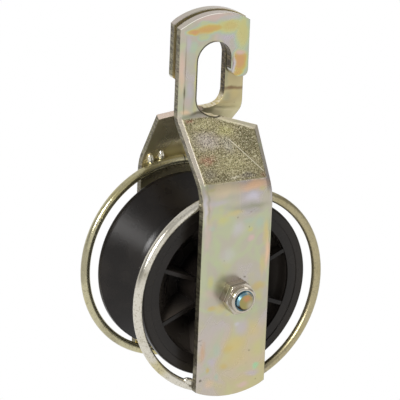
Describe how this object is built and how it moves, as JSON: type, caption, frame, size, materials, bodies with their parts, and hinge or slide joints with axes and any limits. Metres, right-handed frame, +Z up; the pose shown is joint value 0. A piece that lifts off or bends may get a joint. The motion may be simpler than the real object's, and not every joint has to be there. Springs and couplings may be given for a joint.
{
  "type": "hook pulley block",
  "caption": "Pulley block whose bent cheeks overlap into a slotted hanging eye and swing apart to take a rope over a wide grooved wheel between wire guard rings.",
  "frame": {"origin": "top of the slotted eye, midway between the two hook plates, where the block hangs", "axes": "+Z up from the axle towards the eye, Y along the axle with the lock nut at -Y, X across the cheeks"},
  "size_m": [0.136, 0.1047, 0.2426],
  "materials": {
    "plated_bar": "yellow iridescent zinc plating, semi-gloss",
    "plated_wire": "yellow iridescent zinc plating, bright",
    "bright_plated": "bright zinc plating",
    "black_plastic": "satin black moulded nylon",
    "insert_plastic": "smooth light blue nylon",
    "bearing_steel": "ground bearing steel"
  },
  "bodies": {
    "front_frame": {"front_cheek": "plated_bar", "front_guard_ring": "plated_wire", "axle_bolt": "bright_plated", "lock_nut": "bright_plated", "nut_insert": "insert_plastic", "axle_sleeve": "bright_plated", "bearing_spacer": "bright_plated", "front_collar": "bright_plated", "rear_collar": "bright_plated", "front_inner_race": "bearing_steel", "rear_inner_race": "bearing_steel"},
    "rear_frame": {"rear_cheek": "plated_bar", "rear_guard_ring": "plated_wire"},
    "wheel": {"sheave": "black_plastic", "front_outer_race": "bearing_steel", "front_outer_shield": "bearing_steel", "front_inner_shield": "bearing_steel", "rear_outer_race": "bearing_steel", "rear_outer_shield": "bearing_steel", "rear_inner_shield": "bearing_steel"},
    "front_cage_set": {"front_cage": "bearing_steel", "front_ball_1": "bearing_steel", "front_ball_2": "bearing_steel", "front_ball_3": "bearing_steel", "front_ball_4": "bearing_steel", "front_ball_5": "bearing_steel", "front_ball_6": "bearing_steel", "front_ball_7": "bearing_steel", "front_ball_8": "bearing_steel"},
    "rear_cage_set": {"rear_cage": "bearing_steel", "rear_ball_1": "bearing_steel", "rear_ball_2": "bearing_steel", "rear_ball_3": "bearing_steel", "rear_ball_4": "bearing_steel", "rear_ball_5": "bearing_steel", "rear_ball_6": "bearing_steel", "rear_ball_7": "bearing_steel", "rear_ball_8": "bearing_steel"}
  },
  "joints": [
    {"name": "wheel_spin", "type": "hinge", "parent": "front_frame", "child": "wheel", "pos_m": [0, 0, -0.155], "axis": [0, 1, 0], "continuous": true},
    {"name": "rear_cheek_swing", "type": "hinge", "parent": "front_frame", "child": "rear_frame", "pos_m": [0, 0, -0.155], "axis": [0, 1, 0], "continuous": true},
    {"name": "front_cage_spin", "type": "hinge", "parent": "front_frame", "child": "front_cage_set", "pos_m": [0, 0, -0.155], "axis": [0, 1, 0], "continuous": true},
    {"name": "rear_cage_spin", "type": "hinge", "parent": "front_frame", "child": "rear_cage_set", "pos_m": [0, 0, -0.155], "axis": [0, 1, 0], "continuous": true}
  ],
  "couplings": [
    {"joint": "front_cage_spin", "follows": "wheel_spin", "ratio": 0.618},
    {"joint": "rear_cage_spin", "follows": "wheel_spin", "ratio": 0.618}
  ]
}
